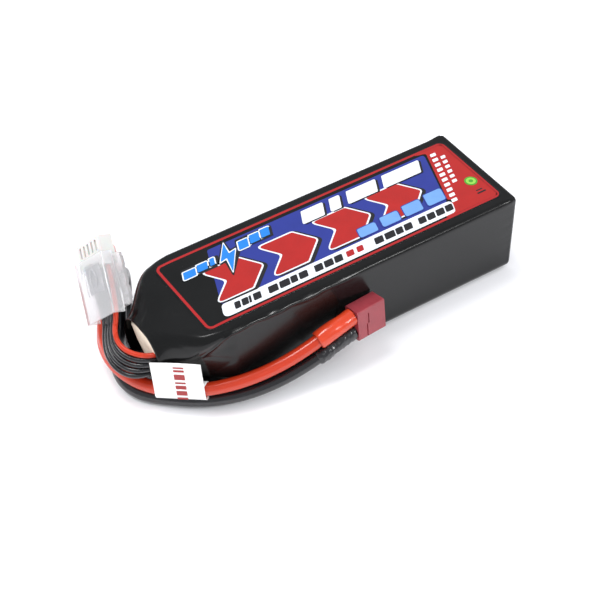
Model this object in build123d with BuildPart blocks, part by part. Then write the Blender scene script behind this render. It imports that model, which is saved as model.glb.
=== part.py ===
"""Four-cell lithium-polymer pack: wrapped cells, power leads with a T plug, balance leads in a clip.

Millimetres. +X runs along the pack away from the leads, +Z is up, and the origin is the centre of
the pack's underside. The leads leave the hood at the -X end and lie beside the -Y face.
"""
import os
from math import pi, tan

from build123d import *

os.makedirs("parts", exist_ok=True)

# ---- Driving dimensions -------------------------------------------------------------------------
PACK_LENGTH = 137.5
PACK_WIDTH = 43.0
PACK_HEIGHT = 32.5
CELL_COUNT = 4
FILM = 0.35            # shrink film
FILM_GAP_SIDE = 0.35   # room between the cells and the film, each side
FILM_GAP_TOP = 0.2
END_FILLET = 1.4
BODY_START = -45.0     # the straight part of the film runs from here to the closed end

CELL_START = -44.0
CELL_LENGTH = 110.0
CELL_PAD = 0.3         # foam tape between two cells
CELL_EDGE_RADIUS = 3.2
TERRACE_LENGTH = 5.0   # sealed edge of the pouch, where the tabs come out
TERRACE_THICKNESS = 0.5
TAB_WIDTH = 7.0
TAB_THICKNESS = 0.3
TAB_SPACING = 14.0
BOARD_FACE = -57.0     # outer face of the tab board
BOARD_THICKNESS = 1.0
BOARD_WIDTH = 23.0
BOARD_HEIGHT = 24.0
BOARD_MIDDLE = 16.4
CARD_FACE = -65.9      # insulating card just inside the rim
CARD_THICKNESS = 0.5
SOLDER_HEIGHT = 0.6    # the leads and wires start on the solder

LEAD_DIAMETER = 4.5    # 12 AWG silicone lead
SLEEVE_DIAMETER = 5.6
WIRE_DIAMETER = 1.7    # 22 AWG silicone wire
WIRE_COUNT = CELL_COUNT + 1
WIRE_PITCH = 2.5

# The hood in sections from the cell block to its open rim:
# x, half width at the top, half width at the bottom, bottom z, top z, bottom radius, top radius
HOOD_SECTIONS = [
    (BODY_START, 21.5, 21.5, 0.0, PACK_HEIGHT, 3.5, 1.8),
    (-49.0, 21.4, 19.4, 0.3, 32.4, 3.8, 2.0),
    (-53.0, 21.3, 15.8, 1.0, 32.1, 4.5, 2.6),
    (-57.0, 21.0, 11.6, 2.2, 31.5, 5.0, 3.6),
    (-61.0, 19.6, 8.6, 4.2, 30.4, 5.0, 5.5),
    (-65.0, 16.2, 7.6, 6.8, 28.9, 5.5, 7.0),
    (-PACK_LENGTH / 2, 11.4, 11.4, 8.9, 27.2, 9.0, 9.0),
]
RIM_OVERRUN = 1.0

# Power leads: points from the solder joints, out of the rim, over a free loop and back to the plug
BLACK_ROUTE = [
    (-57.6, 1.0, 12.1), (-63.2, 1.0, 12.1), (-68.6, 2.4, 12.0), (-71.7, 7.2, 11.0),
    (-70.7, 13.2, 10.4), (-67.5, 17.7, 12.1), (-65.5, 20.7, 15.5), (-63.4, 23.8, 19.2),
    (-61.0, 27.4, 21.1), (-58.1, 31.7, 21.1), (-55.4, 35.8, 17.5), (-54.4, 37.3, 11.7),
    (-55.4, 35.8, 5.8), (-58.1, 31.7, 2.25), (-61.5, 26.7, 2.25), (-65.4, 21.8, 2.25),
    (-69.4, 17.4, 2.25), (-72.4, 12.4, 2.25), (-74.1, 6.8, 2.25), (-74.0, 0.8, 2.25),
    (-71.7, -4.6, 2.25), (-66.4, -10.2, 2.3), (-57.4, -18.2, 2.8), (-46.6, -24.2, 4.2),
    (-34.6, -26.6, 5.4), (-24.2, -27.6, 7.6), (-13.9, -28.1, 10.9), (-3.76, -27.44, 13.62),
]
RED_ROUTE = [
    (-57.6, -5.0, 12.9), (-63.6, -5.0, 12.9), (-69.6, -4.0, 12.9), (-74.3, -0.4, 12.8),
    (-76.2, 5.6, 12.6), (-75.8, 11.8, 12.5), (-72.8, 19.6, 12.6), (-69.3, 24.0, 13.9),
    (-66.6, 28.1, 18.5), (-63.7, 32.5, 23.9), (-61.2, 36.1, 25.8), (-58.3, 40.4, 25.8),
    (-55.6, 44.5, 22.2), (-54.5, 46.1, 16.4), (-55.6, 44.5, 10.6), (-58.3, 40.4, 7.0),
    (-61.8, 35.3, 7.0), (-66.2, 29.2, 7.0), (-70.6, 24.2, 7.0), (-73.5, 18.6, 7.0),
    (-75.0, 12.2, 7.0), (-74.9, 5.0, 7.0), (-72.3, -4.0, 7.2), (-65.9, -12.9, 8.1),
    (-56.7, -20.3, 9.5), (-45.4, -24.8, 11.0), (-33.6, -26.2, 11.9), (-23.2, -27.0, 14.4),
    (-13.4, -27.2, 17.8), (-3.7, -26.5, 19.34),
]

# T plug: its wire face, mating direction and tall direction
PLUG_ORIGIN = (-4.23, -27.02, 16.49)
PLUG_AXIS = (0.996, 0.091, -0.027)
PLUG_TALL = (0.012, 0.161, 0.987)
PLUG_LENGTH = 11.6
PLUG_HEIGHT = 11.5
PLUG_THICKNESS = 6.4
PLUG_EDGE = 0.5
PLUG_SLOT_DEPTH = 8.5
PLUG_SLOT_GAP = 1.4
PLUG_SLOT_LENGTH = 5.1
UPRIGHT_SLOT = 3.1     # slot in line with the plug's height, over the plug's middle
CROSS_SLOT = -2.2      # slot across the plug's thickness
PLUG_GROOVE = 0.35     # depth of the grooves in the outer face
PLUG_GROOVE_WIDTH = 0.5
GROOVE_RUNS = ((-5.75, -0.4, 3.6), (-0.4, 3.6, 4.3))  # from, to over the height, place along
CONTACT_THICKNESS = 0.5
CONTACT_WIDTH = 4.7
CONTACT_LENGTH = 7.5

# Balance clip: its lower front corner, the direction the plug mates in, and the clip's wide direction
CLIP_ORIGIN = (-78.3, 18.65, 18.56)
CLIP_AXIS = (0.2313, 0.7785, 0.5821)
CLIP_WIDE = (0.2678, -0.6273, 0.7314)
CLIP_WIDTH = 17.4
CLIP_FRONT_LENGTH = 20.6
CLIP_REAR_START = 2.4
CLIP_REAR_LENGTH = 17.4
CLIP_PARTING = 4.6     # depth of the front shell
CLIP_DEPTH = 8.4
CLIP_WALL = 0.8
CLIP_GAP = 0.15        # room between the two shells
BALANCE_WIDTH = 14.8   # five-way 2.5 mm pitch housing
BALANCE_THICKNESS = 5.4
BALANCE_LENGTH = 9.8
BALANCE_START = 16.6
BALANCE_EDGE = 1.0     # from the clip's edge to the housing's edge
BALANCE_DEPTH = 1.5    # from the clip's front face to the housing's front face
BALANCE_POCKET = 7.0   # depth of the five contact pockets
BALANCE_POCKET_SIZE = (1.5, 2.6)
BALANCE_WINDOW = (1.1, 0.7)      # slots in the housing's front face: width, depth
BALANCE_WINDOW_LENGTH = 3.6
BALANCE_WINDOW_END = 1.0         # wall left between a slot and the mating face
CLIP_PANEL = 9.6       # square panel sunk in the front shell
CLIP_PANEL_WIDE = 9.6
CLIP_PANEL_ALONG = 13.2
CLIP_PANEL_DEPTH = 0.3
PANEL_OVAL = (2.2, 3.2)
PANEL_OVAL_WALL = 0.5
LIP_THICKNESS = 0.5    # thumbnail lip on the front shell
LIP_DEPTH = 1.0
LIP_MARGIN = 2.0
REAR_NOTCHES = ((2.4, 1.6), (8.2, 1.2), (14.0, 1.2), (18.4, 1.4))  # along the clip: start, length
NOTCH_SIZE = (1.0, 2.4)
SADDLES = (4.6, 12.6)  # ribs across the rear shell, along the clip
SADDLE_HEIGHT = 1.0
SADDLE_LENGTH = 0.8
HINGE_START = 5.0
HINGE_LENGTH = 12.0
HINGE_WIDTH = 2.0
HINGE_THICKNESS = 0.3

# Wire tag: the lead's line where the paper is folded round it, and the direction into the pack
TAG_ORIGIN = (-68.95, -9.05, 7.62)
TAG_AXIS = (0.728, -0.677, 0.108)
TAG_SIDE = (0.684, 0.721, -0.11)
TAG_LENGTH = 16.9
TAG_THICKNESS = 0.2
TAG_TOP = 10.9         # height of the flag's free edge over the lead's middle
TAG_FOLD = 3.9         # height at which the inner ply meets the outer one
TAG_WRAP = 260         # degrees of the lead's girth that the paper follows
TAG_INNER = 2.85       # inside radius of the fold round the lead

# Balance wires from the tab board to the clip: the bundle's middle, and the step from wire to wire
WIRE_BUNDLE = [
    ((-57.6, -8.6, 17.7), (0.0, 0.0, 1.86)),
    ((-63.4, -8.6, 17.7), (0.0, 0.0, 1.86)),
    ((-69.2, -7.6, 17.6), (0.2, 0.1, 1.86)),
    ((-74.2, -4.8, 17.3), (0.98, 0.5, 1.56)),
    ((-77.0, 0.9, 17.6), (1.0, 0.1, 1.55)),
    ((-76.6, 7.4, 19.6), (0.75, -0.55, 1.6)),
]
WIRE_GATHER = 0.6      # how much closer the wires lie at the clip's mouth than at the housing
WIRE_STRAIGHT = 6.0    # straight run into the housing
WIRE_INSERT = 1.2      # how far the wires go into the housing

LABEL_MIDDLE = 5.9
LABEL_LENGTH = 119.4
LABEL_WIDTH = 35.4
LABEL_RADIUS = 2.5
LABEL_THICKNESS = 0.12
LABEL_DROP = 2.0       # how far down the hood's slope the label is allowed to follow

# ---- Derived places -----------------------------------------------------------------------------
half_length = PACK_LENGTH / 2
stack_height = PACK_HEIGHT - 2 * (FILM + FILM_GAP_TOP)
cell_thickness = (stack_height - (CELL_COUNT - 1) * CELL_PAD) / CELL_COUNT
cell_width = PACK_WIDTH - 2 * (FILM + FILM_GAP_SIDE)
stack_bottom = FILM + FILM_GAP_TOP
cell_step = cell_thickness + CELL_PAD
cell_middles = [stack_bottom + cell_thickness / 2 + i * cell_step for i in range(CELL_COUNT)]
cell_end = CELL_START + CELL_LENGTH
terrace_end = CELL_START - TERRACE_LENGTH
plug_plane = Plane(origin=PLUG_ORIGIN, x_dir=PLUG_TALL, z_dir=PLUG_AXIS)
clip_plane = Plane(origin=CLIP_ORIGIN, x_dir=CLIP_WIDE, z_dir=CLIP_AXIS)
tag_plane = Plane(origin=TAG_ORIGIN, x_dir=TAG_SIDE, z_dir=TAG_AXIS)
wire_columns = [BALANCE_EDGE + BALANCE_WIDTH / 2 + (i - (WIRE_COUNT - 1) / 2) * WIRE_PITCH
                for i in range(WIRE_COUNT)]
wire_depth = BALANCE_DEPTH + BALANCE_THICKNESS / 2


def in_clip(wide, deep, along):
    """A point given in the clip's own width, depth and length."""
    point = clip_plane.from_local_coords((wide, deep, along))
    return (point.X, point.Y, point.Z)


def wire_route(index):
    """One balance wire: its own lane of the bundle, then through the clip into the housing."""
    place = index - (WIRE_COUNT - 1) / 2
    column = wire_columns[index]
    lane = [tuple(middle + place * step for middle, step in zip(point, spread))
            for point, spread in WIRE_BUNDLE]
    return lane + [
        in_clip(column - place * WIRE_GATHER, wire_depth + 0.1, 0.8),
        in_clip(column, wire_depth, BALANCE_START - WIRE_STRAIGHT),
        in_clip(column, wire_depth, BALANCE_START + WIRE_INSERT),
    ]


wire_routes = [wire_route(index) for index in range(WIRE_COUNT)]


def finish(builder, label):
    """Name one finished piece and write it as its own STEP file."""
    builder.part.label = label
    export_step(builder.part, f"parts/{label}.step")


def pack_section(inset, section):
    """One cross-section of the pack, moved in by inset: a trapezoid with round corners."""
    x, half_top, half_bottom, low, high, radius_bottom, radius_top = section
    with BuildSketch(Plane.YZ.offset(x)) as outline:
        with BuildLine():
            Polyline((inset - half_bottom, low + inset), (half_bottom - inset, low + inset),
                     (half_top - inset, high - inset), (inset - half_top, high - inset), close=True)
        make_face()
        fillet(outline.vertices().group_by(Axis.Y)[0], radius_bottom - inset)
        fillet(outline.vertices().sort_by(Axis.Y)[-2:], radius_top - inset)
    return outline.sketch


def pack_envelope(inset, overrun=0.0):
    """The pack's outer form, moved in by a wall thickness; overrun carries it on past the rim."""
    sections = [pack_section(inset, section) for section in HOOD_SECTIONS]
    with BuildPart() as envelope:
        extrude(sections[0], amount=half_length - inset - BODY_START)
        fillet(envelope.faces().sort_by(Axis.X)[-1].edges(), END_FILLET - inset)
        loft(sections)
        if overrun:
            extrude(sections[-1], amount=-overrun)
    return envelope.part


# ---- Cells and what joins them ------------------------------------------------------------------
for index, middle in enumerate(cell_middles, start=1):
    with BuildPart() as cell:
        with BuildSketch(Plane.YZ.offset(CELL_START)):
            with Locations((0, middle)):
                RectangleRounded(cell_width, cell_thickness, CELL_EDGE_RADIUS)
        extrude(amount=CELL_LENGTH)
        with BuildSketch(Plane.YZ.offset(terrace_end)):
            with Locations((0, middle)):
                Rectangle(2 * TAB_SPACING, TERRACE_THICKNESS)
        extrude(amount=TERRACE_LENGTH)
    finish(cell, f"cell_{index}")

for index, middle in enumerate(cell_middles[:-1], start=1):
    with BuildPart() as cell_pad:
        with BuildSketch(Plane.XY.offset(middle + cell_thickness / 2)):
            with Locations((CELL_START + CELL_LENGTH / 2, 0)):
                RectangleRounded(CELL_LENGTH - 10, cell_width - 12, 2)
        extrude(amount=CELL_PAD)
    finish(cell_pad, f"cell_pad_{index}")

with BuildPart() as cell_tabs:
    with BuildSketch(Plane.YZ.offset(BOARD_FACE + BOARD_THICKNESS)):
        for middle in cell_middles:
            with Locations((-TAB_SPACING / 2, middle), (TAB_SPACING / 2, middle)):
                Rectangle(TAB_WIDTH, TAB_THICKNESS)
    extrude(amount=terrace_end - BOARD_FACE - BOARD_THICKNESS)
finish(cell_tabs, "cell_tabs")

with BuildPart() as tab_board:
    with BuildSketch(Plane.YZ.offset(BOARD_FACE)):
        with Locations((0, BOARD_MIDDLE)):
            RectangleRounded(BOARD_WIDTH, BOARD_HEIGHT, 1)
    extrude(amount=BOARD_THICKNESS)
finish(tab_board, "tab_board")

with BuildPart() as rear_pad:
    with BuildSketch(Plane.YZ.offset(cell_end)):
        with Locations((0, PACK_HEIGHT / 2)):
            RectangleRounded(cell_width - 1.5, stack_height - 1.5, 3)
    extrude(amount=half_length - FILM - 0.1 - cell_end)
finish(rear_pad, "rear_pad")

# ---- Film, insulating card and label ------------------------------------------------------------
film_cavity = pack_envelope(FILM, RIM_OVERRUN)
card_room = pack_envelope(FILM + 0.15)

with BuildPart() as shrink_wrap:
    add(pack_envelope(0.0))
    add(film_cavity, mode=Mode.SUBTRACT)
finish(shrink_wrap, "shrink_wrap")

with BuildPart() as end_card:
    with BuildSketch(Plane.YZ.offset(CARD_FACE)):
        with BuildLine():
            Polyline((-5.5, 15.7), (7.5, 15.7), (15.5, 19.6), (15.5, 30), (-5.5, 30), close=True)
        make_face()
    extrude(amount=CARD_THICKNESS)
    add(card_room, mode=Mode.INTERSECT)
finish(end_card, "end_card")

with BuildPart() as top_label:
    with BuildSketch(Plane.XY.offset(PACK_HEIGHT - LABEL_DROP)):
        with Locations((LABEL_MIDDLE, 0)):
            RectangleRounded(LABEL_LENGTH, LABEL_WIDTH, LABEL_RADIUS)
    extrude(amount=2 * LABEL_DROP)
    add(pack_envelope(-LABEL_THICKNESS), mode=Mode.INTERSECT)
    add(pack_envelope(0.0), mode=Mode.SUBTRACT)
finish(top_label, "top_label")


# ---- Power leads --------------------------------------------------------------------------------
def fillet_radii(points):
    """The largest arc that each corner's two runs allow: 0.45 of the shorter run over tan(turn/2)."""
    corners = [Vector(*point) for point in points]
    radii = []
    for before, here, after in zip(corners, corners[1:], corners[2:]):
        arriving, leaving = here - before, after - here
        half_turn = arriving.get_angle(leaving) / 2 * pi / 180
        radii.append(0.45 * min(arriving.length, leaving.length) / tan(half_turn))
    return radii


def lay_cord(label, points, diameter):
    """Sweep one round cord along straight runs joined by tangent arcs; return its part and route."""
    radii = fillet_radii(points)
    with BuildPart() as cord:
        with BuildLine():
            route = FilletPolyline(*points, radius=radii)
        with BuildSketch(Plane(origin=route @ 0, z_dir=route % 0)):
            Circle(diameter / 2)
        sweep(path=route)
    finish(cord, label)
    expected = pi * diameter ** 2 / 4 * route.length
    print(f"{label}: length {route.length:.1f}, radii {[round(radius, 1) for radius in radii]}, "
          f"volume over section times length {cord.part.volume / expected:.3f}")
    return cord.part, route


def sleeve_on(label, line):
    """Heat-shrink sleeve over the last runs of a lead; return its part."""
    with BuildPart() as sleeve:
        with BuildLine() as sleeve_line:
            add(line.edges().sort_by(Axis.X)[-2:])
        sleeve_route = sleeve_line.wires()[0]
        with BuildSketch(Plane(origin=sleeve_route @ 0, z_dir=sleeve_route % 0)):
            Circle(SLEEVE_DIAMETER / 2)
            Circle(LEAD_DIAMETER / 2, mode=Mode.SUBTRACT)
        sweep(path=sleeve_route)
    finish(sleeve, label)
    print(f"{label}: length {sleeve_route.length:.1f}")
    return sleeve.part


black_lead, black_line = lay_cord("black_lead", BLACK_ROUTE, LEAD_DIAMETER)
red_lead, red_line = lay_cord("red_lead", RED_ROUTE, LEAD_DIAMETER)
black_sleeve = sleeve_on("black_sleeve", black_line)
red_sleeve = sleeve_on("red_sleeve", red_line)
balance_wires = [lay_cord(f"balance_wire_{index}", points, WIRE_DIAMETER)[0]
                 for index, points in enumerate(wire_routes, start=1)]

with BuildPart() as solder_joints:
    with BuildSketch(Plane.YZ.offset(BOARD_FACE)):
        for points, diameter in ((BLACK_ROUTE, LEAD_DIAMETER), (RED_ROUTE, LEAD_DIAMETER),
                                 *((points, WIRE_DIAMETER) for points in wire_routes)):
            with Locations(points[0][1:]):
                Circle(diameter / 2)
    extrude(amount=-SOLDER_HEIGHT)
finish(solder_joints, "solder_joints")

# ---- T plug -------------------------------------------------------------------------------------
mating_plane = plug_plane.offset(PLUG_LENGTH)
with BuildPart() as t_plug_housing:
    with BuildSketch(plug_plane):
        RectangleRounded(PLUG_HEIGHT, PLUG_THICKNESS, PLUG_EDGE)
    extrude(amount=PLUG_LENGTH)
    with BuildSketch(mating_plane):
        with Locations((UPRIGHT_SLOT, 0)):
            Rectangle(PLUG_SLOT_GAP, PLUG_SLOT_LENGTH)
        with Locations((CROSS_SLOT, 0)):
            Rectangle(PLUG_SLOT_LENGTH, PLUG_SLOT_GAP)
    extrude(amount=-PLUG_SLOT_DEPTH, mode=Mode.SUBTRACT)
    for low, high, along in GROOVE_RUNS:
        with BuildSketch(plug_plane.offset(along)):
            with Locations(((low + high) / 2, PLUG_THICKNESS / 2)):
                Rectangle(high - low, 2 * PLUG_GROOVE)
        extrude(amount=PLUG_GROOVE_WIDTH, mode=Mode.SUBTRACT)
    add([black_lead, red_lead, black_sleeve, red_sleeve], mode=Mode.SUBTRACT)
finish(t_plug_housing, "t_plug_housing")

contact_shift = (PLUG_SLOT_GAP - CONTACT_THICKNESS) / 2
for label, place, size in (
    ("t_plug_contact_positive", (UPRIGHT_SLOT + contact_shift, 0), (CONTACT_THICKNESS, CONTACT_WIDTH)),
    ("t_plug_contact_negative", (CROSS_SLOT, contact_shift), (CONTACT_WIDTH, CONTACT_THICKNESS)),
):
    with BuildPart() as contact:
        with BuildSketch(mating_plane.offset(-PLUG_SLOT_DEPTH)):
            with Locations(place):
                Rectangle(*size)
        extrude(amount=CONTACT_LENGTH)
    finish(contact, label)

# ---- Balance plug and its clip ------------------------------------------------------------------
balance_mating = BALANCE_START + BALANCE_LENGTH
with BuildPart() as balance_plug_housing:
    with BuildSketch(clip_plane.offset(BALANCE_START)):
        with Locations((BALANCE_EDGE + BALANCE_WIDTH / 2, wire_depth)):
            Rectangle(BALANCE_WIDTH, BALANCE_THICKNESS)
    extrude(amount=BALANCE_LENGTH)
    chamfer(balance_plug_housing.edges().filter_by(Axis(CLIP_ORIGIN, CLIP_AXIS)), 0.3)
    with BuildSketch(clip_plane.offset(balance_mating)):
        with Locations(*[(column, wire_depth) for column in wire_columns]):
            Rectangle(*BALANCE_POCKET_SIZE)
    extrude(amount=-BALANCE_POCKET, mode=Mode.SUBTRACT)
    with BuildSketch(clip_plane.offset(balance_mating - BALANCE_WINDOW_END)):
        with Locations(*[(column, BALANCE_DEPTH) for column in wire_columns]):
            Rectangle(BALANCE_WINDOW[0], 2 * BALANCE_WINDOW[1])
    extrude(amount=-BALANCE_WINDOW_LENGTH, mode=Mode.SUBTRACT)
    add(balance_wires, mode=Mode.SUBTRACT)
finish(balance_plug_housing, "balance_plug_housing")

with BuildPart() as balance_contacts:
    with BuildSketch(clip_plane.offset(balance_mating - BALANCE_POCKET)):
        with Locations(*[(column, wire_depth + 0.9) for column in wire_columns]):
            Rectangle(1.3, 0.4)
    extrude(amount=BALANCE_POCKET - 1)
finish(balance_contacts, "balance_contacts")

rear_depth = CLIP_DEPTH - CLIP_PARTING
with BuildPart() as clip_rear_shell:
    with BuildSketch(clip_plane.offset(CLIP_REAR_START)):
        with Locations((CLIP_WIDTH / 2, CLIP_PARTING + rear_depth / 2)):
            Rectangle(CLIP_WIDTH, rear_depth)
        with Locations((CLIP_WIDTH / 2, CLIP_PARTING + (rear_depth - CLIP_WALL) / 2)):
            Rectangle(CLIP_WIDTH - 2 * CLIP_WALL, rear_depth - CLIP_WALL, mode=Mode.SUBTRACT)
    extrude(amount=CLIP_REAR_LENGTH)
    for along, length in REAR_NOTCHES:
        with BuildSketch(clip_plane.offset(along)):
            with Locations((CLIP_WIDTH, CLIP_DEPTH)):
                Rectangle(*NOTCH_SIZE)
        extrude(amount=length, mode=Mode.SUBTRACT)
    for along in SADDLES:
        with BuildSketch(clip_plane.offset(along)):
            with Locations((CLIP_WIDTH / 2, CLIP_DEPTH - CLIP_WALL - SADDLE_HEIGHT / 2)):
                Rectangle(CLIP_WIDTH - 2 * CLIP_WALL, SADDLE_HEIGHT)
        extrude(amount=SADDLE_LENGTH)
finish(clip_rear_shell, "clip_rear_shell")

front_depth = CLIP_PARTING - CLIP_GAP
with BuildPart() as clip_front_shell:
    with BuildSketch(clip_plane):
        with Locations((CLIP_WIDTH / 2, front_depth / 2)):
            Rectangle(CLIP_WIDTH, front_depth)
        with Locations((CLIP_WIDTH / 2, (front_depth + CLIP_WALL) / 2)):
            Rectangle(CLIP_WIDTH - 2 * CLIP_WALL, front_depth - CLIP_WALL, mode=Mode.SUBTRACT)
    extrude(amount=CLIP_FRONT_LENGTH)
    panel_plane = Plane(origin=in_clip(CLIP_PANEL_WIDE, 0, CLIP_PANEL_ALONG), x_dir=CLIP_WIDE,
                        z_dir=-clip_plane.y_dir)
    with BuildSketch(panel_plane):
        Rectangle(CLIP_PANEL, CLIP_PANEL)
    extrude(amount=-CLIP_PANEL_DEPTH, mode=Mode.SUBTRACT)
    with BuildSketch(panel_plane.offset(-CLIP_PANEL_DEPTH)):
        Ellipse(*PANEL_OVAL)
        Ellipse(*(radius - PANEL_OVAL_WALL for radius in PANEL_OVAL), mode=Mode.SUBTRACT)
    extrude(amount=CLIP_PANEL_DEPTH)
    with BuildSketch(clip_plane.offset(LIP_MARGIN)):
        with Locations((CLIP_WIDTH + LIP_THICKNESS / 2, front_depth - LIP_DEPTH / 2)):
            Rectangle(LIP_THICKNESS, LIP_DEPTH)
    extrude(amount=CLIP_FRONT_LENGTH - 2 * LIP_MARGIN)
finish(clip_front_shell, "clip_front_shell")

with BuildPart() as clip_hinge_strip:
    with BuildSketch(clip_plane.offset(HINGE_START)):
        with Locations((-HINGE_THICKNESS / 2, CLIP_PARTING + HINGE_WIDTH / 2)):
            Rectangle(HINGE_THICKNESS, HINGE_WIDTH)
    extrude(amount=HINGE_LENGTH)
finish(clip_hinge_strip, "clip_hinge_strip")
hinge_point = in_clip(-HINGE_THICKNESS / 2, CLIP_PARTING, HINGE_START)
print("hinge point", [round(value, 3) for value in hinge_point])

# ---- Paper tag folded round the red lead --------------------------------------------------------
tag_outer = TAG_INNER + TAG_THICKNESS
with BuildPart() as wire_tag:
    with BuildSketch(tag_plane):
        with BuildLine():
            Line((-tag_outer, TAG_TOP), (-tag_outer, 0))
            outside = CenterArc((0, 0), tag_outer, 180, TAG_WRAP)
            Polyline(outside @ 1, (-TAG_INNER, TAG_FOLD), (-TAG_INNER, TAG_TOP), (-tag_outer, TAG_TOP))
        make_face()
        with BuildLine():
            inside = CenterArc((0, 0), TAG_INNER, 180, TAG_WRAP)
            Polyline(inside @ 1, (-TAG_INNER, TAG_FOLD - TAG_THICKNESS), inside @ 0)
        make_face(mode=Mode.SUBTRACT)
    extrude(amount=TAG_LENGTH)
finish(wire_tag, "wire_tag")
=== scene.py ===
"""Looks for the wrapped four-cell battery pack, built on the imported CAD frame. Sizes are in mm until MM."""

import math

import bmesh
import bpy
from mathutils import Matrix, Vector, noise


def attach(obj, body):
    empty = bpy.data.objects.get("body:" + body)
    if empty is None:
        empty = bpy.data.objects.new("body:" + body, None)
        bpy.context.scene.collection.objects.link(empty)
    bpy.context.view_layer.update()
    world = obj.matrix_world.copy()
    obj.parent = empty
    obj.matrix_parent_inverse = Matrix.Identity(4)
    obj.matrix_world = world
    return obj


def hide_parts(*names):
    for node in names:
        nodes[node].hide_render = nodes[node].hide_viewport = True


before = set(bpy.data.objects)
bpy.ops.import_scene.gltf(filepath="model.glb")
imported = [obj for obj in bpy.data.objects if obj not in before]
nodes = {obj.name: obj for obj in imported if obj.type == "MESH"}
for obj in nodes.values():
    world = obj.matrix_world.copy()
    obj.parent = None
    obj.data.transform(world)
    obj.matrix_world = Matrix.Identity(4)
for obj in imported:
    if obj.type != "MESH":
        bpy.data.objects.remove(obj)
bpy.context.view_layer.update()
MM = 0.001
PACK = "pack"
BUMP_DISTANCE = 0.0003  # metres
GRAIN_SCALE = 6         # how much finer a surface's grain is than its clouds of colour

# ---- Materials ----------------------------------------------------------------------------------


def shader(name, color, roughness=0.4, **sockets):
    """A Principled material with plain socket values; returns the material, its tree and the shader."""
    mat = bpy.data.materials.new(name)
    mat.use_nodes = True
    tree = mat.node_tree
    bsdf = tree.nodes["Principled BSDF"]
    bsdf.inputs["Base Color"].default_value = (*color, 1)
    bsdf.inputs["Roughness"].default_value = roughness
    for key, value in sockets.items():
        bsdf.inputs[key.replace("_", " ")].default_value = value
    return mat, tree, bsdf


def noise_texture(tree, scale, detail):
    """A noise texture on object coordinates; returns its factor output."""
    coord = tree.nodes.new("ShaderNodeTexCoord")
    node = tree.nodes.new("ShaderNodeTexNoise")
    tree.links.new(coord.outputs["Object"], node.inputs["Vector"])
    node.inputs["Scale"].default_value = scale
    node.inputs["Detail"].default_value = detail
    return node.outputs["Fac"]


def add_bump(tree, bsdf, height, strength):
    """Link a shallow bump to the shader's normal."""
    bump = tree.nodes.new("ShaderNodeBump")
    bump.inputs["Strength"].default_value = strength
    bump.inputs["Distance"].default_value = BUMP_DISTANCE
    tree.links.new(height, bump.inputs["Height"])
    tree.links.new(bump.outputs["Normal"], bsdf.inputs["Normal"])


def ramp(tree, factor, stops):
    """A two-colour ramp on a texture's factor; returns its colour output."""
    node = tree.nodes.new("ShaderNodeValToRGB")
    for element, (place, color) in zip(node.color_ramp.elements, stops):
        element.position, element.color = place, (*color, 1)
    tree.links.new(factor, node.inputs["Fac"])
    return node.outputs["Color"]


def varied(name, color, spread, roughness, scale, bump, rough_spread=0.08, **sockets):
    """A material whose colour, gloss and surface all vary a little with noise."""
    mat, tree, bsdf = shader(name, color, roughness, **sockets)
    cloud = noise_texture(tree, scale, 6)
    dark = tuple(c * (1 - spread) for c in color)
    light = tuple(min(1, c * (1 + spread)) for c in color)
    tree.links.new(ramp(tree, cloud, ((0.3, dark), (0.7, light))), bsdf.inputs["Base Color"])
    gloss = tree.nodes.new("ShaderNodeMapRange")
    gloss.inputs["To Min"].default_value = max(0.02, roughness - rough_spread)
    gloss.inputs["To Max"].default_value = roughness + rough_spread
    tree.links.new(cloud, gloss.inputs["Value"])
    tree.links.new(gloss.outputs["Result"], bsdf.inputs["Roughness"])
    add_bump(tree, bsdf, noise_texture(tree, scale * GRAIN_SCALE, 8), bump)
    return mat


film = varied("film_black", (0.0042, 0.0044, 0.0044), 0.25, 0.24, 60, 0.04, 0.05, Specular_IOR_Level=0.28,
              Coat_Weight=0.06, Coat_Roughness=0.06)
INK = {
    "outline": (0.32, 0.007, 0.008), "red": (0.33, 0.008, 0.006), "blue": (0.014, 0.026, 0.21),
    "white": (0.66, 0.69, 0.73), "black": (0.006, 0.006, 0.008), "bright": (0.010, 0.17, 0.56),
    "light": (0.13, 0.28, 0.58), "green": (0.05, 0.26, 0.02), "lime": (0.22, 0.50, 0.06),
}
inks = {key: varied(f"ink_{key}", color, 0.06, 0.24, 180, 0.04, 0.04, Coat_Weight=0.3,
                    Coat_Roughness=0.1) for key, color in INK.items()}
red_silicone = varied("silicone_red", (0.50, 0.034, 0.009), 0.07, 0.24, 90, 0.05, Specular_IOR_Level=0.6)
black_silicone = varied("silicone_black", (0.010, 0.010, 0.012), 0.3, 0.24, 90, 0.06, Specular_IOR_Level=0.7)
wire_black = varied("wire_black", (0.010, 0.010, 0.012), 0.3, 0.26, 120, 0.1, Coat_Weight=0.4,
                    Coat_Roughness=0.15)
wire_red = varied("wire_red", (0.49, 0.032, 0.009), 0.08, 0.28, 120, 0.08, Specular_IOR_Level=0.4)
sleeve_red = varied("sleeve_red", (0.55, 0.046, 0.014), 0.09, 0.20, 140, 0.08, Coat_Weight=0.15,
                    Coat_Roughness=0.1)
sleeve_black = varied("sleeve_black", (0.012, 0.012, 0.014), 0.3, 0.27, 140, 0.12, Coat_Weight=0.4,
                      Coat_Roughness=0.15)
maroon = varied("plug_maroon", (0.27, 0.034, 0.046), 0.10, 0.36, 240, 0.22, Coat_Weight=0.1,
                Coat_Roughness=0.3)
brass = varied("contact_brass", (0.80, 0.60, 0.27), 0.12, 0.28, 300, 0.15, Metallic=1.0)
nylon = varied("nylon_white", (0.60, 0.60, 0.58), 0.03, 0.38, 200, 0.12, Subsurface_Weight=0.3,
               Subsurface_Scale=0.002)
milky = varied("clip_milky", (0.94, 0.94, 0.95), 0.03, 0.24, 120, 0.08, Transmission_Weight=0.78,
               IOR=1.27)
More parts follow.
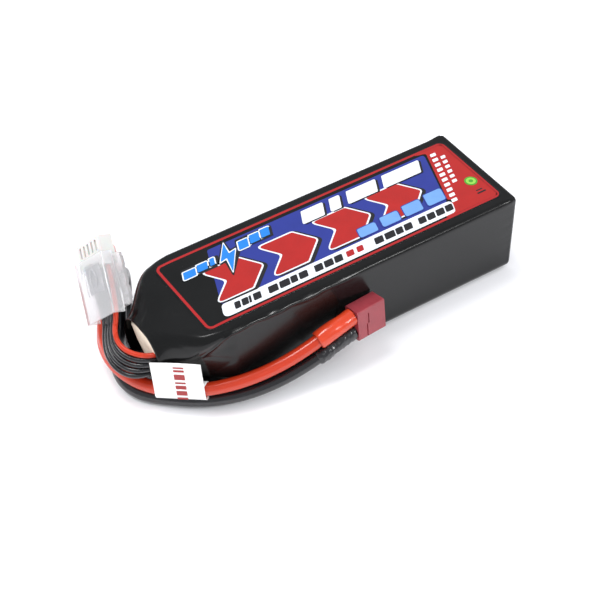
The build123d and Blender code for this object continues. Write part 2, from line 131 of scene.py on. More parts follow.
card = varied("card_cream", (0.80, 0.71, 0.58), 0.06, 0.62, 220, 0.25)
paper = varied("tag_paper", (0.90, 0.90, 0.89), 0.02, 0.62, 260, 0.2)
foil = varied("pouch_foil", (0.70, 0.71, 0.73), 0.08, 0.32, 60, 0.2, Metallic=0.9)
foam = varied("foam_tape", (0.80, 0.80, 0.76), 0.08, 0.8, 400, 0.5)
tabs = varied("tab_metal", (0.72, 0.72, 0.73), 0.06, 0.3, 200, 0.15, Metallic=1.0)
board = varied("board_green", (0.02, 0.12, 0.05), 0.15, 0.4, 200, 0.15)

# ---- Mesh helpers -------------------------------------------------------------------------------


def add_mesh(name, vertices, faces, mat, slot, smooth=True, body=PACK):
    """A mesh piece from vertices in mm; it rides on a body. Its slot argument is not used."""
    mesh = bpy.data.meshes.new(name)
    mesh.from_pydata([Vector(v) * MM for v in vertices], [], faces)
    mesh.materials.append(mat)
    mesh.update()
    if smooth:
        mesh.shade_smooth()
    obj = bpy.data.objects.new(name, mesh)
    bpy.context.scene.collection.objects.link(obj)
    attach(obj, body)
    return obj


def fix_normals(obj):
    """Make the faces' outward sides agree."""
    bm = bmesh.new()
    bm.from_mesh(obj.data)
    bmesh.ops.recalc_face_normals(bm, faces=bm.faces)
    bm.to_mesh(obj.data)
    bm.free()


def skin(rings):
    """Faces between successive closed rings of equal size, as vertices and faces."""
    count = len(rings[0])
    vertices = [point for ring in rings for point in ring]
    faces = []
    for row in range(len(rings) - 1):
        low, high = row * count, (row + 1) * count
        for i in range(count):
            j = (i + 1) % count
            faces.append((low + i, low + j, high + j, high + i))
    return vertices, faces


def smoothstep(low, high, x):
    """0 at low and before it, 1 at high and past it, and a smooth change between."""
    t = min(1.0, max(0.0, (x - low) / (high - low)))
    return t * t * (3 - 2 * t)


# ---- The shrink film ----------------------------------------------------------------------------
HALF_LENGTH = 68.75
HALF_HEIGHT = 16.25
FILM = 0.35
END_RADIUS = 1.4        # round edge of the closed end
HIGHEST_RELIEF = 0.42   # the most that a fold stands out of the CAD's film
# x, half width at the top, half width at the bottom, low, high, bottom radius, top radius
SECTIONS = [
    (-45.0, 21.5, 21.5, 0.0, 32.5, 3.5, 1.8), (-49.0, 21.4, 19.4, 0.3, 32.4, 3.8, 2.0),
    (-53.0, 21.3, 15.8, 1.0, 32.1, 4.5, 2.6), (-57.0, 21.0, 11.6, 2.2, 31.5, 5.0, 3.6),
    (-61.0, 19.6, 8.6, 4.2, 30.4, 5.0, 5.5), (-65.0, 16.2, 7.6, 6.8, 28.9, 5.5, 7.0),
    (-68.75, 11.4, 11.4, 8.9, 27.2, 9.0, 9.0),
]


def section_at(x):
    """The film's section at x: smooth through the hood's listed sections, constant over the cells."""
    if x >= SECTIONS[0][0]:
        return SECTIONS[0][1:]
    rows = SECTIONS
    k = 0
    while k < len(rows) - 2 and x < rows[k + 1][0]:
        k += 1
    a, b = rows[k], rows[k + 1]
    before, after = rows[max(0, k - 1)], rows[min(len(rows) - 1, k + 2)]
    t = (x - a[0]) / (b[0] - a[0])
    values = []
    for i in range(1, 7):
        ma = (b[i] - before[i]) / (b[0] - before[0]) * (b[0] - a[0]) if k else 0.0
        mb = (after[i] - a[i]) / (after[0] - a[0]) * (b[0] - a[0])
        values.append((2 * t ** 3 - 3 * t ** 2 + 1) * a[i] + (t ** 3 - 2 * t ** 2 + t) * ma
                      + (3 * t ** 2 - 2 * t ** 3) * b[i] + (t ** 3 - t ** 2) * mb)
    return tuple(values)


def film_ring(x, inset=0.0, corner=12, side=40):
    """One ring of points round the pack at x, moved in by inset: (x, y, z) and its outward direction."""
    half_top, half_bottom, low, high, radius_low, radius_high = section_at(x)
    corners = [((-half_bottom, low), radius_low), ((half_bottom, low), radius_low),
               ((half_top, high), radius_high), ((-half_top, high), radius_high)]
    arcs = []
    for k, (here, radius) in enumerate(corners):
        p = Vector(here)
        back = (Vector(corners[k - 1][0]) - p).normalized()
        ahead = (Vector(corners[(k + 1) % 4][0]) - p).normalized()
        half = math.acos(max(-1, min(1, back.dot(ahead)))) / 2
        centre = p + (back + ahead).normalized() * radius / math.sin(half)
        start = (p + back * radius / math.tan(half) - centre).angle_signed(Vector((1, 0)))
        sweep = math.pi - 2 * half
        arcs.append([(centre, radius, start + sweep * i / corner) for i in range(corner + 1)])
    points = []
    for k in range(4):
        for centre, radius, angle in arcs[k]:
            out = Vector((math.cos(angle), math.sin(angle)))
            points.append((centre + out * max(0.05, radius - inset), out))
        last = arcs[k][-1]
        following = arcs[(k + 1) % 4][0]
        out = Vector((math.cos(last[2]), math.sin(last[2])))
        a, b = last[0] + out * (last[1] - inset), following[0] + out * (following[1] - inset)
        for i in range(1, side):
            points.append((a.lerp(b, i / side), out))
    return [((x, p.x, p.y), (out.x, out.y)) for p, out in points]


def film_relief(x, y, z, k, count):
    """How far the film stands in or out there, as the sum of its folds, seam, corner peaks and waves."""
    hood = smoothstep(-42.0, -51.0, x)
    turn = k / count * 2 * math.pi
    around = Vector((math.cos(turn) * 3.1, math.sin(turn) * 3.1, x * 0.045))
    folds = noise.noise(around * 2.1)
    crease = (1 - min(1, abs(noise.noise(around * 1.25 + Vector((7, 3, 1)))) * 4.5)) ** 3
    fine = noise.noise(Vector((x * 0.35, y * 0.35, z * 0.35)))
    slack = noise.noise(Vector((x * 0.035, y * 0.05, z * 0.05)))
    shut = smoothstep(60.0, 68.0, x)
    peak = smoothstep(61.0, 67.0, x) * math.exp(-((abs(y) - 21.3) / 1.1) ** 2 - ((z - 32.2) / 1.1) ** 2)
    pleat = noise.noise(Vector((turn * 9, x * 0.05, 4.0)))
    top = smoothstep(30.5, 32.0, z)
    drop = 31.3 - 0.35 * max(0.0, -47.0 - x) ** 1.35 + 0.25 * math.sin(x * 0.45)
    seam = (smoothstep(-62, -54, x) * smoothstep(10, -16, x) * smoothstep(0, -4, y)
            * math.exp(-((z - drop) / 0.55) ** 2)
            * (0.8 + 0.6 * noise.noise(Vector((x * 0.3, 5, 5)))))
    return (hood * (0.13 * folds - 0.13 * crease + 0.02 * fine) * (1 - 0.75 * top * smoothstep(-56, -50, x))
            + 0.42 * seam + 0.4 * peak + 0.06 * slack * (1 - top) - 0.12 * shut * abs(pleat))


def film_mesh():
    """The whole wrap: folded-in rim, hood, long body and the closed end."""
    stations = [-HALF_LENGTH + 0.35 * i for i in range(70)]
    stations += [stations[-1] + 1.2 * (i + 1) for i in range(93)]
    stations = [x for x in stations if x < HALF_LENGTH - 1.5]
    count = len(film_ring(0.0))
    rings = []
    for depth in (9.0, 6.0, 3.0, 1.2, 0.3):
        ring = film_ring(-HALF_LENGTH + depth, FILM)
        rings.append([p for p, _ in ring])
    for step, x in enumerate(stations):
        inset = FILM / 2 if step == 0 else 0.0
        ring = []
        for k, ((px, y, z), (oy, oz)) in enumerate(film_ring(x, inset)):
            d = film_relief(px, y, z, k, count) * smoothstep(0, 3, step)
            d = min(d, HIGHEST_RELIEF)
            ring.append((px - (0.06 if step == 0 else 0), y + oy * d, max(0.0, z + oz * d)))
        rings.append(ring)
    for i in range(9):
        angle = i / 8 * math.pi / 2
        x = HALF_LENGTH - END_RADIUS * (1 - math.sin(angle))
        ring = film_ring(x, END_RADIUS * (1 - math.cos(angle)))
        rings.append([(px, y, z) for (px, y, z), _ in ring])
    outline = rings[-1]
    middle = Vector((HALF_LENGTH, 0, HALF_HEIGHT))
    for shrink in (0.93, 0.82, 0.66, 0.45, 0.22):
        ring = []
        for p in outline:
            q = middle.lerp(Vector(p), shrink)
            dent = 0.16 * noise.noise(Vector((q.y * 0.16, q.z * 0.16, 2.5))) - 0.10 * (1 - shrink)
            ring.append((HALF_LENGTH + min(0.0, dent) - 0.02, q.y, q.z))
        rings.append(ring)
    vertices, faces = skin(rings)
    centre = len(vertices)
    vertices.append((HALF_LENGTH - 0.12, 0, HALF_HEIGHT))
    base = (len(rings) - 1) * count
    faces += [(base + i, base + (i + 1) % count, centre) for i in range(count)]
    return vertices, faces


wrap = add_mesh("wrap_film", *film_mesh(), film, "shrink_film")
fix_normals(wrap)
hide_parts("shrink_wrap")


# ---- The printed top panel ----------------------------------------------------------------------
def film_top(x):
    """Height of the film's top at x."""
    return section_at(x)[3]


def rounded(points, radius, steps=6):
    """A 2-D polygon with round corners."""
    out = []
    for k, here in enumerate(points):
        p, a, b = Vector(here), Vector(points[k - 1]), Vector(points[(k + 1) % len(points)])
        to_a, to_b = (a - p).normalized(), (b - p).normalized()
        half = math.acos(max(-1, min(1, to_a.dot(to_b)))) / 2
        reach = min(radius / math.tan(half), 0.45 * (a - p).length, 0.45 * (b - p).length)
        first, last = p + to_a * reach, p + to_b * reach
        for i in range(steps + 1):
            t = i / steps
            out.append(tuple(first.lerp(p, t).lerp(p.lerp(last, t), t)))
    return out


def slab(x, y, width, height, lean, radius, grow=0.0):
    """A leaning block with round corners, centred at (x, y)."""
    w, h = width / 2 + grow, height / 2 + grow
    s = lean * h
    return rounded([(x - w - s, y - h), (x + w - s, y - h), (x + w + s, y + h), (x - w + s, y + h)],
                   radius + grow)


def print_shapes(name, outlines, level, ink):
    """Flat printed shapes over the film; an outline inside another is a hole in it."""
    curve = bpy.data.curves.new(name, "CURVE")
    curve.dimensions, curve.fill_mode = "2D", "BOTH"
    for outline in outlines:
        spline = curve.splines.new("POLY")
        spline.points.add(len(outline) - 1)
        for point, (x, y) in zip(spline.points, outline):
            point.co = (x, y, 0, 1)
        spline.use_cyclic_u = True
    holder = bpy.data.objects.new(name + "_outline", curve)
    bpy.context.scene.collection.objects.link(holder)
    flat = holder.to_mesh()
    vertices = [(v.co.x, v.co.y, film_top(v.co.x) + level) for v in flat.vertices]
    faces = [tuple(p.vertices) for p in flat.polygons]
    holder.to_mesh_clear()
    bpy.data.objects.remove(holder)
    bpy.data.curves.remove(curve)
    return add_mesh(name, vertices, faces, inks[ink], "label_print", smooth=False)


def ring_points(x0, x1, y0, y1, radius, edge=60, corner=8):
    """A rounded rectangle with enough points to follow the film."""
    points = []
    for cx, cy, start in ((x1 - radius, y1 - radius, 0), (x0 + radius, y1 - radius, 90),
                          (x0 + radius, y0 + radius, 180), (x1 - radius, y0 + radius, 270)):
        arc = [(cx + radius * math.cos(math.radians(start + 90 * i / corner)),
                cy + radius * math.sin(math.radians(start + 90 * i / corner)))
               for i in range(corner + 1)]
        if points:
            (ax, ay), (bx, by) = points[-1], arc[0]
            points += [(ax + (bx - ax) * i / edge, ay + (by - ay) * i / edge) for i in range(1, edge)]
        points += arc
    (ax, ay), (bx, by) = points[-1], points[0]
    points += [(ax + (bx - ax) * i / edge, ay + (by - ay) * i / edge) for i in range(1, edge)]
    return points


LABEL_LEFT, LABEL_RIGHT, LABEL_SIDE, LABEL_RADIUS = -53.8, 65.6, 17.7, 2.5
LABEL_MIDDLE = (LABEL_LEFT + LABEL_RIGHT) / 2


def panel_ring(inset, level):
    """The panel's outline moved in by inset, at a level over the film."""
    side = LABEL_SIDE - inset
    outline = ring_points(LABEL_LEFT + inset, LABEL_RIGHT - inset, -side, side, LABEL_RADIUS - inset)
    return [(x, y, film_top(x) + level) for x, y in outline]


def label_base():
    """The printed panel's black ground, a thin skin that follows the film."""
    rings = [panel_ring(inset, level) for inset, level in ((0.0, 0.02), (0.05, 0.1), (0.25, 0.12))]
    for scale in (0.97, 0.9, 0.75, 0.5, 0.2):
        inner = [(LABEL_MIDDLE + (x - LABEL_MIDDLE) * scale, y * scale) for x, y, _ in rings[2]]
        rings.append([(x, y, film_top(x) + 0.12) for x, y in inner])
    vertices, faces = skin(rings)
    count = len(rings[0])
    faces.append(tuple(range((len(rings) - 1) * count, len(rings) * count)))
    return vertices, faces


label = add_mesh("label_ground", *label_base(), film, "label_print")
fix_normals(label)
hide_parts("top_label")

line_rings = [[(x, y, film_top(x) + 0.15)
               for x, y in ring_points(-53.2 + g, 65.0 - g, -17.3 + g, 17.3 - g, 2.4 - g)]
              for g in (0.0, 0.95)]
add_mesh("label_line", *skin(line_rings), inks["outline"], "label_print")

print_shapes("label_blue", [rounded([(-34.2, 14.9), (55.6, 14.9), (47.0, -9.8), (-43.9, -9.8)], 1.2)],
             0.15, "blue")
RED_END = [(51.4, 16.4), (64.2, 16.4), (64.2, -16.4), (41.0, -16.4), (49.4, -10.0), (47.8, -9.0),
           (56.6, 15.0)]
print_shapes("label_red_end", [rounded(RED_END, 0.9)], 0.15, "red")
print_shapes("label_stripe", [rounded([(-43.9, -9.8), (49.0, -9.8), (46.4, -15.6), (-46.4, -15.6)], 2.0)],
             0.18, "white")


def grown(points, amount):
    """A polygon moved out along its corners' outward directions."""
    area = sum(a[0] * b[1] - b[0] * a[1] for a, b in zip(points, points[1:] + points[:1]))
    side = 1 if area > 0 else -1
    out = []
    for k, here in enumerate(points):
        p = Vector(here)
        before = (p - Vector(points[k - 1])).normalized()
        after = (Vector(points[(k + 1) % len(points)]) - p).normalized()
        normals = [Vector((d.y, -d.x)) * side for d in (before, after)]
        mitre = (normals[0] + normals[1]).normalized()
        out.append(tuple(p + mitre * min(amount / max(0.45, mitre.dot(normals[0])), amount * 2.2)))
    return out


def chevron(x, y, grow=0.0, width=13.6, point=6.8, height=14.8, lean=1.6):
    """A broad arrow lying along the panel, leaning a little."""
    h = height / 2
    shape = [(x - width - lean, y - h), (x - lean, y - h), (x + point, y), (x + lean, y + h),
             (x - width + lean, y + h), (x - width + point, y)]
    return rounded(grown(shape, grow) if grow else shape, 1.1 + grow)


arrows = [(-29.4 + 21.9 * i, -1.2 + 0.4 * i) for i in range(4)]
print_shapes("label_arrow_shade", [chevron(x + 0.9, y - 0.6, 0.85) for x, y in arrows], 0.18, "black")
print_shapes("label_arrow_edge", [chevron(x, y, 0.6) for x, y in arrows], 0.21, "white")
print_shapes("label_arrow", [chevron(x, y) for x, y in arrows], 0.24, "red")

title = [slab(x, 10.7, w, 6.0, 0.5, 0.6) for x, w in ((5.4, 9.0), (14.6, 4.4), (25.8, 12.4), (42.6, 16.0))]
print_shapes("label_title_shade", [[(x + 0.6, y - 0.5) for x, y in shape] for shape in title], 0.27, "black")
print_shapes("label_title", title, 0.30, "white")

charge = [(16.0 + 9.6 * i, -6.6 + 0.35 * i, 7.4, 4.2 + 0.5 * i, 0.3, 0.9) for i in range(4)]
print_shapes("label_charge_edge", [slab(*block, 0.35) for block in charge], 0.27, "blue")
print_shapes("label_charge", [slab(*block) for block in charge], 0.30, "light")

# A plain lightning bolt between short slanted blocks, with a white and a dark edge
BOLT = [(-28.0, 14.6), (-33.6, 7.2), (-30.8, 7.8), (-32.6, 1.0), (-26.2, 10.0), (-29.0, 9.4)]
badge = [BOLT] + [slab(x, y, w, h, 0.42, 0.3) for x, y, w, h in (
    (-45.0, 8.0, 4.6, 3.2), (-39.8, 8.6, 4.0, 3.2), (-35.8, 9.0, 1.8, 3.2),
    (-22.6, 10.6, 3.8, 3.8), (-17.8, 11.2, 3.8, 3.8), (-13.4, 11.6, 3.4, 3.8))]
badge_shade = [rounded(grown(BOLT, 1.15), 0.5), slab(-40.6, 8.5, 14.6, 5.0, 0.42, 0.8),
               slab(-18.0, 11.1, 14.4, 5.6, 0.42, 0.8)]
print_shapes("label_badge_shade", badge_shade, 0.27, "black")
print_shapes("label_badge_edge", [rounded(grown(shape, 0.45), 0.3) for shape in badge], 0.33, "white")
print_shapes("label_badge", [rounded(shape, 0.2) for shape in badge], 0.36, "bright")

# Plain ticks where small print would be; a width of 0 leaves a gap
TICK_WIDTHS = (3.0, 3.4, 1.2, 4.0, 0, 5.0, 5.4, 3.6, 4.6, 0, 4.4, 4.8, 4.4, 0, 0, 0, 0,
               4.2, 4.8, 5.6, 4.0, 4.4, 0, 4.2, 4.4, 4.6, 4.2)
TICK_ROW = -12.7
marks, x = [], -41.0
for width in TICK_WIDTHS:
    if width:
        marks.append(slab(x + width / 2, TICK_ROW, width * 0.74, 3.0, 0.4, 0.5))
    x += (width or 2.4) * 0.78 + 0.35
print_shapes("label_marks", [m for m in marks if not 6.0 < m[0][0] < 13.0], 0.21, "black")
print_shapes("label_marks_red", [slab(4.6, TICK_ROW, 3.0, 2.6, 0.4, 0.5),
                                 slab(8.6, TICK_ROW, 2.6, 2.6, 0.4, 0.5)], 0.21, "outline")
SIDE_LEAN = 0.36
side_rows = [slab(58.2 - SIDE_LEAN * (13.0 - y), y, 2.3, 1.5, SIDE_LEAN, 0.3)
             for y in (13.0, 10.4, 7.8, 5.2, 2.6, 0.0, -2.6, -5.2, -7.8, -10.4)]
side_rows += [slab(61.0 - SIDE_LEAN * (11.6 - y), y, 1.9, 1.4, SIDE_LEAN, 0.3)
              for y in (10.2, 7.7, 5.2, 2.7, 0.2, -2.3)]
print_shapes("label_side_marks", side_rows, 0.18, "white")


def disc(x, y, radius, steps=40):
    """A round outline."""
    return [(x + radius * math.cos(2 * math.pi * i / steps),
             y + radius * math.sin(2 * math.pi * i / steps)) for i in range(steps)]


print_shapes("label_dot_edge", [disc(60.6, -5.6, 2.3)], 0.18, "green")
print_shapes("label_dot", [disc(60.6, -5.6, 1.75), disc(60.6, -5.6, 0.8)], 0.21, "lime")
print_shapes("label_bar", [slab(60.2, -12.2, 3.6, 0.7, 0, 0.2), slab(60.2, -10.8, 2.6, 0.5, 0, 0.2)],
             0.18, "black")


# ---- The card in the hood's mouth ----------------------------------------------------------------
def card_face():
    """A bowed card filling the mouth's upper part, cut back round the balance wires."""
    edge = [(9.9 * math.cos(math.radians(a)), 18.1 + 8.2 * math.sin(math.radians(a)))
            for a in range(40, 151, 5)]
    edge += [(-6.2, 20.6), (-5.6, 14.2), (-1.0, 16.2), (4.2, 19.6)]
    rows = [[(-67.9 - 0.5 * (1 - ((y - 1) / 11) ** 2) * k, 1 + (y - 1) * shrink, 20 + (z - 20) * shrink)
             for y, z in edge] for k, shrink in ((0.0, 1.0), (0.5, 0.8), (0.8, 0.55), (1.0, 0.3))]
    vertices, faces = skin(rows)
    faces.append(tuple(range(3 * len(edge), 4 * len(edge))))
    return vertices, faces


face = add_mesh("card_face", *card_face(), card, "card")
thickness = face.modifiers.new("card", "SOLIDIFY")
thickness.thickness, thickness.offset = 0.3 * MM, 0.0

# ---- Cords --------------------------------------------------------------------------------------
# Each route repeats the CAD's, from inside the hood to the plug
BLACK_ROUTE = [
    (-57.6, 1.0, 12.1), (-63.2, 1.0, 12.1), (-68.6, 2.4, 12.0), (-71.7, 7.2, 11.0),
    (-70.7, 13.2, 10.4), (-67.5, 17.7, 12.1), (-65.5, 20.7, 15.5), (-63.4, 23.8, 19.2),
    (-61.0, 27.4, 21.1), (-58.1, 31.7, 21.1), (-55.4, 35.8, 17.5), (-54.4, 37.3, 11.7),
    (-55.4, 35.8, 5.8), (-58.1, 31.7, 2.25), (-61.5, 26.7, 2.25), (-65.4, 21.8, 2.25),
    (-69.4, 17.4, 2.25), (-72.4, 12.4, 2.25), (-74.1, 6.8, 2.25), (-74.0, 0.8, 2.25),
    (-71.7, -4.6, 2.25), (-66.4, -10.2, 2.3), (-57.4, -18.2, 2.8), (-46.6, -24.2, 4.2),
    (-34.6, -26.6, 5.4), (-24.2, -27.6, 7.6), (-13.9, -28.1, 10.9), (-3.76, -27.44, 13.62),
]
RED_ROUTE = [
    (-57.6, -5.0, 12.9), (-63.6, -5.0, 12.9), (-69.6, -4.0, 12.9), (-74.3, -0.4, 12.8),
    (-76.2, 5.6, 12.6), (-75.8, 11.8, 12.5), (-72.8, 19.6, 12.6), (-69.3, 24.0, 13.9),
    (-66.6, 28.1, 18.5), (-63.7, 32.5, 23.9), (-61.2, 36.1, 25.8), (-58.3, 40.4, 25.8),
    (-55.6, 44.5, 22.2), (-54.5, 46.1, 16.4), (-55.6, 44.5, 10.6), (-58.3, 40.4, 7.0),
    (-61.8, 35.3, 7.0), (-66.2, 29.2, 7.0), (-70.6, 24.2, 7.0), (-73.5, 18.6, 7.0),
    (-75.0, 12.2, 7.0), (-74.9, 5.0, 7.0), (-72.3, -4.0, 7.2), (-65.9, -12.9, 8.1),
    (-56.7, -20.3, 9.5), (-45.4, -24.8, 11.0), (-33.6, -26.2, 11.9), (-23.2, -27.0, 14.4),
    (-13.4, -27.2, 17.8), (-3.7, -26.5, 19.34),
]
# Middle wire's place, and the step from one wire to the next
WIRE_BUNDLE = [
    ((-57.6, -8.6, 17.7), (0.0, 0.0, 1.86)),
    ((-63.4, -8.6, 17.7), (0.0, 0.0, 1.86)),
    ((-69.2, -7.6, 17.6), (0.2, 0.1, 1.86)),
    ((-74.2, -4.8, 17.3), (0.98, 0.5, 1.56)),
    ((-77.0, 0.9, 17.6), (1.0, 0.1, 1.55)),
    ((-76.6, 7.4, 19.6), (0.75, -0.55, 1.6)),
]
# The clip's own corner and axes
CLIP_ORIGIN = Vector((-78.3, 18.65, 18.56))
CLIP_U = Vector((0.2678, -0.6273, 0.7314))
CLIP_V = Vector((0.9345, -0.0133, -0.3536))
CLIP_A = Vector((0.2313, 0.7785, 0.5821))


def in_clip(u, v, a):
    """A place in the clip's own axes: u across the wires, v from front to rear, a along the wires."""
    return tuple(CLIP_ORIGIN + CLIP_U * u + CLIP_V * v + CLIP_A * a)


def line_cord(name, points, diameter, mat):
    """A round cord along a route in mm, as one smooth curve."""
    curve = bpy.data.curves.new(name, "CURVE")
    curve.dimensions = "3D"
    spline = curve.splines.new("NURBS")
    spline.points.add(len(points) - 1)
    for point, place in zip(spline.points, points):
        point.co = (*(Vector(place) * MM), 1)
    spline.order_u = 3
    spline.use_endpoint_u = True
    spline.resolution_u = 10
    curve.bevel_depth = diameter / 2 * MM
    curve.bevel_resolution = 6
    curve.use_fill_caps = True
    curve.materials.append(mat)
    obj = bpy.data.objects.new(name, curve)
    bpy.context.scene.collection.objects.link(obj)
    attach(obj, PACK)
    return obj


def smooth_line(points, per_run=16):
    """Points of the quadratic B-spline that a route's curve follows."""
    pts = [Vector(p) for p in points]
    mids = [pts[0]] + [(a + b) / 2 for a, b in zip(pts[1:-2], pts[2:-1])] + [pts[-1]]
    out = []
    for k in range(len(mids) - 1):
        a, c, b = mids[k], pts[k + 1], mids[k + 1]
        out += [a.lerp(c, t).lerp(c.lerp(b, t), t) for t in (i / per_run for i in range(per_run))]
    return out + [pts[-1]]


def last_stretch(line, length, start=0.0):
    """Evenly spaced points over a line's last length, less the last start of it."""
    back, run = line[::-1], 0.0
    marks = [(0.0, back[0])]
    for a, b in zip(back, back[1:]):
        run += (b - a).length
        marks.append((run, b))
    wanted = [start + (length - start) * i / 60 for i in range(61)]
    out, k = [], 0
    for want in wanted:
        while marks[k + 1][0] < want:
            k += 1
        (r0, p0), (r1, p1) = marks[k], marks[k + 1]
        out.append(p0.lerp(p1, (want - r0) / (r1 - r0)))
    return out[::-1]


def tube(line, radius_at, count=48):
    """Rings round a line; radius_at(along, angle) is the tube's radius there."""
    rings = []
    side = Vector((0, 0, 1))
    for k, p in enumerate(line):
        ahead = (line[min(k + 1, len(line) - 1)] - line[max(k - 1, 0)]).normalized()
        side = (side - ahead * side.dot(ahead)).normalized()
        other = ahead.cross(side)
        ring = []
        for i in range(count):
            turn = 2 * math.pi * i / count
            out = side * math.cos(turn) + other * math.sin(turn)
            ring.append(p + out * radius_at(k / (len(line) - 1), i / count))
        rings.append(ring)
    return rings


LEAD_DIAMETER = 4.5
WIRE_DIAMETER = 1.7
black_lead = line_cord("lead_black", BLACK_ROUTE, LEAD_DIAMETER, black_silicone)
red_lead = line_cord("lead_red", RED_ROUTE, LEAD_DIAMETER, red_silicone)
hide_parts("black_lead")
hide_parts("red_lead")


def lip(along):
    """The film's cut end curls in onto the lead."""
    return 0.24 * (1 - smoothstep(0.0, 0.05, along))


def black_sleeve_radius(along, turn):
    """A loose, creased sleeve."""
    a = turn * 2 * math.pi
    wrinkle = noise.noise(Vector((along * 13, math.cos(a) * 1.6, math.sin(a) * 1.6)))
    ridge = abs(noise.noise(Vector((along * 6 + 4, math.cos(a) * 1.2, math.sin(a) * 1.2))))
    fold = (1 - min(1, ridge * 5)) ** 2
    return 2.72 + 0.17 * wrinkle + 0.16 * fold - lip(along) + 0.12 * math.sin(along * 9)


def red_sleeve_radius(along, turn):
    """A tight sleeve, flattened towards the plug."""
    a = turn * 2 * math.pi
    flat = 0.16 * abs(math.sin(a * 2 + 0.6)) * smoothstep(0.35, 0.7, along)
    wave = noise.noise(Vector((along * 5 + 9, math.cos(a), math.sin(a))))
    return 3.18 + 0.12 * wave - flat - lip(along)


for name, route, length, radius_at, mat in (
        ("black_sleeve", BLACK_ROUTE, 15.2, black_sleeve_radius, sleeve_black),
        ("red_sleeve", RED_ROUTE, 14.2, red_sleeve_radius, sleeve_red)):
    rings = tube(last_stretch(smooth_line(route), length + 0.5, 0.5), radius_at)
    ends = [[p.lerp(sum(ring, Vector()) / len(ring), 0.18) for p in ring] for ring in (rings[0], rings[-1])]
    obj = add_mesh(name + "_film", *skin([ends[0], *rings, ends[1]]), mat, name + "_film")
    fix_normals(obj)
    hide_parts(name)


# ---- The paper tag round the red lead -----------------------------------------------------------
TAG_ORIGIN = Vector((-68.95, -9.05, 7.62))
TAG_AXIS = Vector((0.728, -0.677, 0.108))
TAG_SIDE = Vector((0.684, 0.721, -0.11))
TAG_UP = TAG_AXIS.cross(TAG_SIDE).normalized()
TAG_RADIUS = 2.95
TAG_WIDTH = 16.9
FLAG_TOP = 13.3


def tag_profile():
    """The strip's middle line across the lead: flag, girth, and back onto the flag."""
    line = [(-TAG_RADIUS, FLAG_TOP - FLAG_TOP * i / 16) for i in range(17)]
    line += [(TAG_RADIUS * math.cos(math.radians(180 + 260 * i / 36)),
              TAG_RADIUS * math.sin(math.radians(180 + 260 * i / 36))) for i in range(1, 37)]
    end = Vector(line[-1])
    return line + [tuple(end.lerp(Vector((-TAG_RADIUS + 0.16, 3.9)), i / 5)) for i in range(1, 6)]


def tag_point(side, up, along):
    """A point on the tag; the flag's free corners curl a little."""
    lift = smoothstep(2.0, FLAG_TOP, up)
    curl = 0.30 * lift * (2 * along / TAG_WIDTH - 1) ** 2 - 0.12 * lift
    return TAG_ORIGIN + TAG_AXIS * along + TAG_SIDE * (side - curl) + TAG_UP * up


profile = tag_profile()
rows = [[tag_point(s, t, TAG_WIDTH * j / 24) for s, t in profile] for j in range(25)]
width = len(profile)
tag_faces = [(r * width + i, (r + 1) * width + i, (r + 1) * width + i + 1, r * width + i + 1)
             for r in range(24) for i in range(width - 1)]
tag = add_mesh("tag_strip", [p for row in rows for p in row], tag_faces, paper, "tag_paper")
thick = tag.modifiers.new("paper", "SOLIDIFY")
thick.thickness, thick.offset = 0.16 * MM, 0.0
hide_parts("wire_tag")


def tag_mark(name, corners, mat):
    """A printed mark on the flag's outer face; corners are (along, up)."""
    points = [tag_point(-TAG_RADIUS - 0.13, up, along) for along, up in corners]
    return add_mesh(name, points, [tuple(range(len(points)))], mat, "tag_paper", smooth=False)


left, right = 7.4, 11.0
# height up the flag, and depth, of each block of print
TAG_PRINT = ((11.4, 0.6), (10.1, 0.9), (7.6, 2.2), (5.2, 0.7), (3.4, 1.5), (1.0, 1.9), (-1.2, 0.7))
for k, (up, depth) in enumerate(TAG_PRINT):
    low, high = up - depth / 2, up + depth / 2
    block = rounded([(left, low), (right, low), (right, high), (left, high)], 0.25, 3)
    tag_mark(f"tag_mark_{k}", block, inks["outline"])


def dress(mat, *names, bevel=0.0, segments=3):
    """Give CAD nodes a material and, where asked, softened edges."""
    for name in names:
        obj = nodes[name]
        obj.data.materials.clear()
        obj.data.materials.append(mat)
        if bevel:
            edge = obj.modifiers.new("edges", "BEVEL")
            edge.width, edge.segments = bevel * MM, segments
            edge.limit_method, edge.angle_limit = "ANGLE", math.radians(35)
            edge.harden_normals = True


dress(maroon, "t_plug_housing", bevel=0.22)
dress(brass, "t_plug_contact_positive", "t_plug_contact_negative", "balance_contacts", bevel=0.05)
dress(nylon, "balance_plug_housing", bevel=0.14)
dress(milky, "clip_rear_shell", "clip_front_shell", bevel=0.16)
dress(milky, "clip_hinge_strip")
dress(card, "end_card")
dress(foil, *[f"cell_{i}" for i in range(1, 5)], bevel=0.3)
dress(foam, "cell_pad_1", "cell_pad_2", "cell_pad_3", "rear_pad")
dress(tabs, "cell_tabs", "solder_joints")
dress(board, "tab_board")

COLUMNS = (3.4, 5.9, 8.4, 10.9, 13.4)
WIRE_LENGTHS = (60.8, 58.4, 56.0, 53.8, 51.8)
for index, (column, length) in enumerate(zip(COLUMNS, WIRE_LENGTHS)):
    place = index - 2
    lane = [tuple(Vector(point) + Vector(spread) * place) for point, spread in WIRE_BUNDLE]
    lane += [in_clip(column - place * 0.6, 4.3, 0.8), in_clip(column, 4.2, 10.6),
             in_clip(column, 4.2, 17.8)]
    last = index == 4
    wire = line_cord(f"wire_{index + 1}", lane, WIRE_DIAMETER, wire_red if last else wire_black)
    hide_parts(f"balance_wire_{index + 1}")
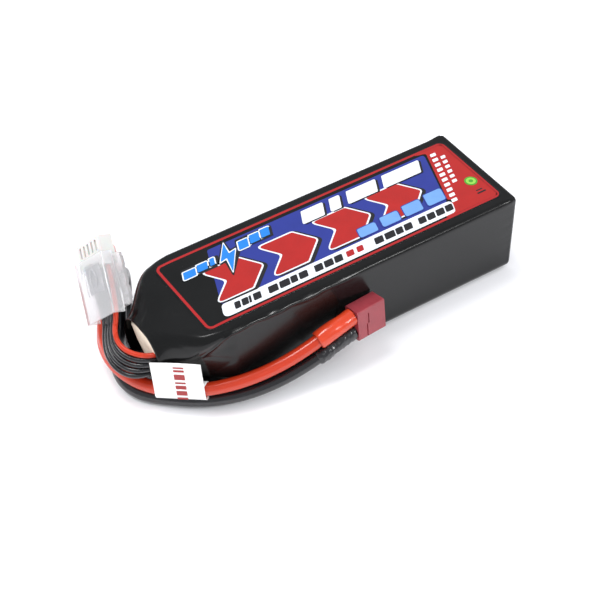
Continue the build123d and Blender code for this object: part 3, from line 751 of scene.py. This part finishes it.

# The clip's window is greyer than its rim: a thin grey pane just behind the front wall, painted shade that
# stands in for the darker look through the window
PANE_REACH = 4.6
pane_outline = rounded([(-PANE_REACH, -PANE_REACH), (PANE_REACH, -PANE_REACH), (PANE_REACH, PANE_REACH),
                        (-PANE_REACH, PANE_REACH)], 0.8)
pane = [in_clip(9.6 + u, v, 13.2 + a) for v in (0.92, 1.12) for u, a in pane_outline]
half = len(pane) // 2
# Painted shade: the pane's dark grey colour stands in for the shade seen through the window
window_shade_mat = varied("clip_window_painted_shade", (0.13, 0.13, 0.155), 0.05, 0.4, 120, 0.05)
pane_faces = [tuple(range(half))[::-1], tuple(range(half, 2 * half))]
pane_faces += [(i, (i + 1) % half, half + (i + 1) % half, half + i) for i in range(half)]
add_mesh("clip_window_painted_shade", pane, pane_faces, window_shade_mat, "milky_plastic", smooth=False, body="clip_front")

# ---- Camera, floor and light --------------------------------------------------------------------
FLOOR_REACH = 4.0  # metres
scene = bpy.context.scene
camera = bpy.data.objects.new("camera", bpy.data.cameras.new("camera"))
scene.collection.objects.link(camera)
camera.location = (-0.23918, -0.34744, 0.4126)
view = Vector((-0.00296, 0.00598, 0.0)) - camera.location
camera.rotation_euler = view.to_track_quat("-Z", "Y").to_euler()
camera.data.lens, camera.data.sensor_width = 101.67, 36
scene.camera = camera

floor_mesh = bpy.data.meshes.new("floor")
bm = bmesh.new()
for x, y in ((-1, -1), (1, -1), (1, 1), (-1, 1)):
    bm.verts.new((x * FLOOR_REACH, y * FLOOR_REACH, 0))
bm.faces.new(bm.verts)
bm.to_mesh(floor_mesh)
bm.free()
floor = bpy.data.objects.new("floor", floor_mesh)
scene.collection.objects.link(floor)
floor_mesh.materials.append(shader("floor_white", (0.90, 0.90, 0.92), 0.85, Specular_IOR_Level=0.1)[0])
floor.location.z = -0.0002


def soft_light(name, place, size, power, mirrored=True):
    """A square soft light aimed at the pack; one that isn't mirrored leaves no reflection."""
    lamp = bpy.data.lights.new(name, "AREA")
    lamp.size, lamp.energy = size, power
    obj = bpy.data.objects.new(name, lamp)
    scene.collection.objects.link(obj)
    obj.location = place
    obj.rotation_euler = (Vector((0, 0, 0.01)) - obj.location).to_track_quat("-Z", "Y").to_euler()
    obj.visible_glossy = mirrored


soft_light("key", (-0.55, 0.42, 0.85), 0.65, 6.8, mirrored=False)
soft_light("fill", (-0.75, -0.55, 0.55), 0.9, 3.8, mirrored=False)
soft_light("back", (0.1, 1.1, 0.6), 0.5, 4.0, mirrored=False)
soft_light("right", (0.85, -0.35, 0.7), 0.9, 6.5, mirrored=False)
soft_light("strip", (0.42, -0.80, 0.70), 0.16, 3.6)
soft_light("glint", (-0.15, 0.20, 1.1), 0.26, 3.2)
world = bpy.data.worlds.new("world")
world.use_nodes = True
world.node_tree.nodes["Background"].inputs["Color"].default_value = (0.93, 0.95, 1.0, 1)
world.node_tree.nodes["Background"].inputs["Strength"].default_value = 0.52
scene.world = world
scene.view_settings.view_transform = "Standard"
